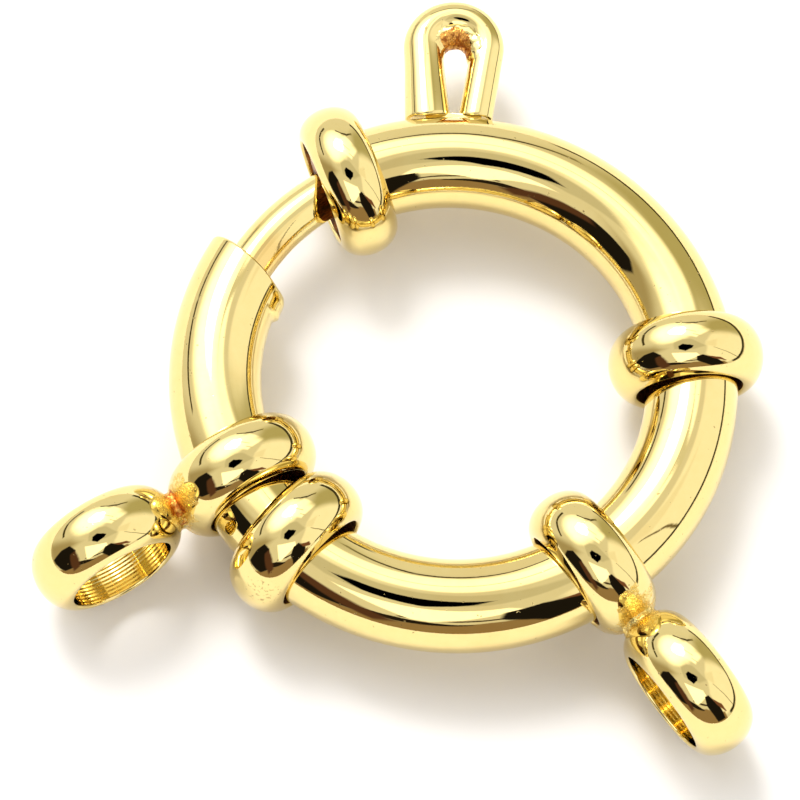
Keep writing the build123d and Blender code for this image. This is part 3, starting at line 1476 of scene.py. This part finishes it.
@dataclass
class LightTent:
    """White tent round the clasp, open in front, with the hole that the camera looks through."""

    cloth: Colour = (0.83, 0.81, 0.78)
    crumple_scale: float = 3.2
    pale: Colour = (1.0, 1.0, 1.0)
    strength: float = 1.07
    crumple: float = 0.06
    fine: frozenset[str] = frozenset((
        "east fold", "east seam", "upper seam", "lower seam", "west hem", "north edge", "east hem",
        "room's edge", "flap edge", "table edge left", "table edge right",
    ))
    parts: tuple[TentLamp | TentPanel | TentHem, ...] = (
        TentPanel("north cloth", (1.7, 1.7, 1.7), 2.5, (
            (16, 58), (18, 112), (30, 140), (60, 128), (61, 113), (55, 101), (54.6, 88), (63, 76),
            (44, 56),
        )),
        TentLamp("lamp glow", 40, 137, 19, 15, (2.5, 2.5, 2.5)),
        TentLamp("window lamp", 37, 122, 9.5, 4, (18.0, 18.0, 18.0)),
        TentPanel("east cloth", (1.15, 1.13, 1.12), 3.0, (
            (25, 322), (25, 12), (27, 42), (50, 50), (84, 34), (87, 0), (84, 320), (58, 316),
        )),
        TentPanel("east fold", (1.04, 1.0, 0.94), 2.5, ((25, 350), (25, 12), (42, 20), (42, 352))),
        TentPanel("east seam", (0.2, 0.16, 0.09), 0.5, (
            (39, 348), (39, 349.3), (87, 350.3), (87, 349),
        )),
        TentPanel("upper seam", (0.8, 0.78, 0.7), 0.5, (
            (23, 45), (21, 84), (22.5, 84), (24.5, 45),
        )),
        TentPanel("lower seam", (0.9, 0.88, 0.8), 0.5, (
            (28, 78), (36, 110), (37.5, 110), (29.5, 78),
        )),
        TentPanel("west hem", HEM, 0.8, ((77, 116), (76.5, 150), (80.5, 150), (81, 116))),
        TentPanel("west hem", HEM, 0.8, ((76.5, 150), (67, 175), (71, 176), (80.5, 151))),
        TentPanel("north wall", (0.87, 0.85, 0.8), 1.0, (
            (57.5, 88), (64, 114), (67, 130), (93, 130), (93, 66), (84, 66), (65, 77),
        )),
        TentPanel("north edge", HEM, 0.7, ((61, 113), (54.5, 101), (57.5, 101), (64, 113))),
        TentPanel("north edge", HEM, 0.7, ((54.5, 101), (54, 88), (57.5, 88), (57.5, 101))),
        TentPanel("north edge", HEM, 0.7, ((54, 88), (63, 76), (67, 77), (57.5, 88))),
        TentPanel("north-east fold", (0.5, 0.47, 0.29), 9.0, (
            (43, 48), (43, 70), (64, 78), (92, 68), (92, 34), (66, 40),
        )),
        TentHem("east hem", (0.05, 0.045, 0.025), 28, 52, (84.5, 89.0)),
        TentPanel("roof", (0.66, 0.64, 0.59), 2.0, (
            (22, 188), (12, 112), (8, 82), (20, 30), (25, 8), (26, 342), (22, 300), (27, 228),
        )),
        TentPanel("west wall", (0.42, 0.36, 0.25), 9.0, (
            (52, 188), (40, 206), (92, 214), (92, 176),
        )),
        TentPanel("room in front", (0.32, 0.22, 0.13), 1.5, (
            (60, 240), (60, 270), (62, 304), (62, 326), (94, 326), (96, 270), (94, 226), (70, 222),
        )),
        TentPanel("room's edge", (0.06, 0.04, 0.025), 0.8, (
            (57, 262), (58, 304), (61, 304), (60, 262),
        )),
        TentPanel("front flap", (1.85, 1.82, 1.82), 1.2, (
            (36, 236), (34, 300), (44, 303), (61, 272), (60, 266),
        )),
        TentPanel("flap edge", (0.02, 0.014, 0.01), 0.8, (
            (62, 238), (62, 262), (61, 285), (68, 285), (72, 262), (73, 238),
        )),
        TentPanel("dark side left", (0.012, 0.01, 0.01), 1.2, (
            (54, 202), (49, 221), (71, 258), (86, 238), (89, 204), (70, 199),
        )),
        TentPanel("table edge left", (0.1, 0.045, 0.03), 2.5, (
            (50, 222), (57, 246), (74, 262), (84, 256), (72, 240), (60, 222),
        )),
        TentPanel("dark side right", (0.012, 0.01, 0.01), 1.0, (
            (44, 297), (43, 310), (66, 322), (88, 322), (88, 306), (60, 294),
        )),
        TentPanel("table edge right", (0.2, 0.085, 0.055), 1.0, (
            (47, 306), (46, 311), (66, 329), (80, 330), (80, 322), (62, 318),
        )),
        TentPanel("lens hole", (0.0, 0.0, 0.0), 0.8, (
            (7, 285), (13, 312), (18, 296), (25, 269), (24, 242), (18, 222), (10, 214),
        )),
    )

    def ground(self, wiring: Wiring, look: Value, fine: bool) -> bpy.types.Node:
        """Wire the tent's light.

        Args:
            wiring: The world's nodes.
            look: Direction of sight.
            fine: Whether the fine parts count, which only a mirror shows.

        Returns:
            The Background node. The camera sees it plain and pale.
        """
        light: object = self.cloth
        for part in self.parts:
            if fine or part.name not in self.fine:
                light = wiring.mix(part.cover(wiring, look), light, part.light)
        sight = wiring.node("ShaderNodeLightPath").outputs["Is Camera Ray"]
        light = wiring.mix(sight, light, self.pale)
        return wiring.node("ShaderNodeBackground", {}, {"Color": light, "Strength": self.strength})

    def build(self) -> None:
        """Wire the world: the whole tent for reflections, its broad parts for other light."""
        world = bpy.data.worlds.new("light_tent")
        world.use_nodes = True
        bpy.context.scene.world = world
        wiring = Wiring(world.node_tree)
        look = wiring.node("ShaderNodeTexCoord").outputs["Generated"]
        inputs = {"Vector": look, "Scale": self.crumple_scale, "Detail": 3.0, "Roughness": 0.5}
        folds = wiring.node("ShaderNodeTexNoise", {}, inputs).outputs["Color"]
        pushed = wiring.vector("SUBTRACT", folds, (0.5, 0.5, 0.5))
        pushed = wiring.vector("MULTIPLY", pushed, (self.crumple,) * 3)
        crumpled = wiring.vector("ADD", look, pushed)
        mirrored = wiring.node("ShaderNodeLightPath").outputs["Is Glossy Ray"]
        broad, whole = self.ground(wiring, look, False), self.ground(wiring, crumpled, True)
        inputs = {0: mirrored, 1: broad.outputs[0], 2: whole.outputs[0]}
        both = wiring.node("ShaderNodeMixShader", {}, inputs)
        wiring.node("ShaderNodeOutputWorld", {}, {"Surface": both.outputs[0]})
        LOG.info("tent of %d parts", len(self.parts))


@dataclass
class PaperFloor:
    """Plain pale paper that the clasp lies on."""

    level: float = -2.75
    half: float = 600.0
    pale: Colour = (0.91, 0.895, 0.885)

    def build(self) -> None:
        """Lay the paper."""
        writer = MeshWriter()
        spots = ((-1, -1), (1, -1), (1, 1), (-1, 1))
        row = writer.row(Vector((x * self.half, y * self.half, self.level)) for x, y in spots)
        writer.face(row)
        made = bpy.data.materials.new("floor_paper")
        made.use_nodes = True
        wiring = Wiring(made.node_tree)
        place = wiring.node("ShaderNodeTexCoord").outputs["Object"]
        fibres = wiring.grain(place, 1.4, 4.0)
        dark = tuple(0.985 * part for part in self.pale)
        base = wiring.mix(fibres, self.pale, dark)
        inputs = {"Base Color": base, "Roughness": 0.9, "Specular IOR Level": 0.1}
        wiring.surface(inputs)
        paper = new_object(writer, "paper_floor", [made])


@dataclass
class PhotoCamera:
    """Camera that sees the clasp as the photograph does, in an image 800 pixels square."""

    azimuth: float = 7.0
    elevation: float = 68.29
    roll: float = -7.337
    distance: float = 169.13
    focal: float = 4815.8
    ring_centre: tuple[float, float] = (453.8, 380.5)
    image: float = 800.0
    sensor: float = 36.0

    def build(self) -> None:
        """Place the camera and turn it so that the image's middle is in the middle of its view."""
        turn, lift, roll = map(math.radians, (self.azimuth, self.elevation, self.roll))
        back = Vector(
            (-math.sin(turn) * math.cos(lift), -math.cos(turn) * math.cos(lift), math.sin(lift))
        )
        level = Vector((math.cos(turn), -math.sin(turn), 0))
        high = back.cross(level)
        right = level * math.cos(roll) - high * math.sin(roll)
        above = level * math.sin(roll) + high * math.cos(roll)
        aside = self.image / 2 - self.ring_centre[0]
        over = self.ring_centre[1] - self.image / 2
        aim = (-back * self.focal + right * aside + above * over).normalized()
        right = aim.cross(above).normalized()
        above = right.cross(aim)
        lens = bpy.data.cameras.new("photo_camera")
        lens.sensor_width = self.sensor
        lens.lens = self.focal * self.sensor / self.image
        lens.clip_start, lens.clip_end = 0.01, 5.0
        made = bpy.data.objects.new("photo_camera", lens)
        bpy.context.scene.collection.objects.link(made)
        axes = Matrix((right, above, -aim)).transposed().to_4x4()
        made.matrix_world = Matrix.Translation(back * self.distance * MM) @ axes
        bpy.context.scene.camera = made


def main() -> None:
    """Build the camera, the surroundings and the clasp."""
    logging.basicConfig(level=logging.INFO, format="%(name)s: %(message)s")
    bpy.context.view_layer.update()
    bpy.context.scene.view_settings.view_transform = "Standard"
    PhotoCamera().build()
    LightTent().build()
    PaperFloor().build()
    ring_plate = GoldPlate("gold_ring_plate").material()
    bead_plate = GoldPlate("gold_bead_plate").material()
    link_plate = GoldPlate("gold_link_plate").material()
    # The tongue's heavy stains are partly real stains and partly painted shade for the shadow that
    # the tube's mouth and the mouth bead cast on it.
    tongue_plate = GoldPlate("gold_tongue_plate", ripple=4.0, marks=0.5, shade_and_stains=0.8).material()
    loop_plate = GoldPlate("gold_loop_plate", ripple=3.0).material()
    # Dull brass for bores and gaps, darkened as painted shade for the shadow inside them.
    thin_plate_with_shade = ShadedThinPlate("thin_plate_with_shade").material()
    stop_plate = GoldPlate("gold_stop_plate", worn=(-6.63, -8.3, 0.95)).material()
    hot_solder, pale_solder, dark_solder = (
        CrinkledSolder(name, bright, burnt, gloss).material() for name, bright, burnt, gloss in (
            ("hot_solder", (0.92, 0.52, 0.12), (0.48, 0.14, 0.025), 0.2),
            ("pale_solder", (0.88, 0.7, 0.26), (0.83, 0.58, 0.16), 0.06),
            ("dark_solder", (0.8, 0.4, 0.09), (0.36, 0.12, 0.025), 0.12),
        )
    )
    RingTube().build(ring_plate, thin_plate_with_shade)
    Bead("mouth_bead", 116.3, -0.12, 3.85, 2.15, -4.5, -5.5).build(bead_plate, thin_plate_with_shade)
    Bead("shoulder_bead", 6.0, 0.1, lean=2.5).build(bead_plate, thin_plate_with_shade)
    Bead("stop_bead", 228.0, 0.14).build(stop_plate, thin_plate_with_shade)
    left_link = FigureEightLink("left_link", 206.245, 4.5, Body.LEFT_LINK)
    left_link.build(link_plate, thin_plate_with_shade, pale_solder, hot_solder)
    right_link = FigureEightLink("right_link", 305.5, 1.3, Body.RIGHT_LINK, 7.0)
    right_link.build(link_plate, thin_plate_with_shade, pale_solder, pale_solder)
    Tongue().build(tongue_plate)
    ThumbLoop().build(loop_plate, dark_solder)
    CoilSpring().build(SpringSteel("spring_steel").material())


if __name__ == "__main__":
    main()
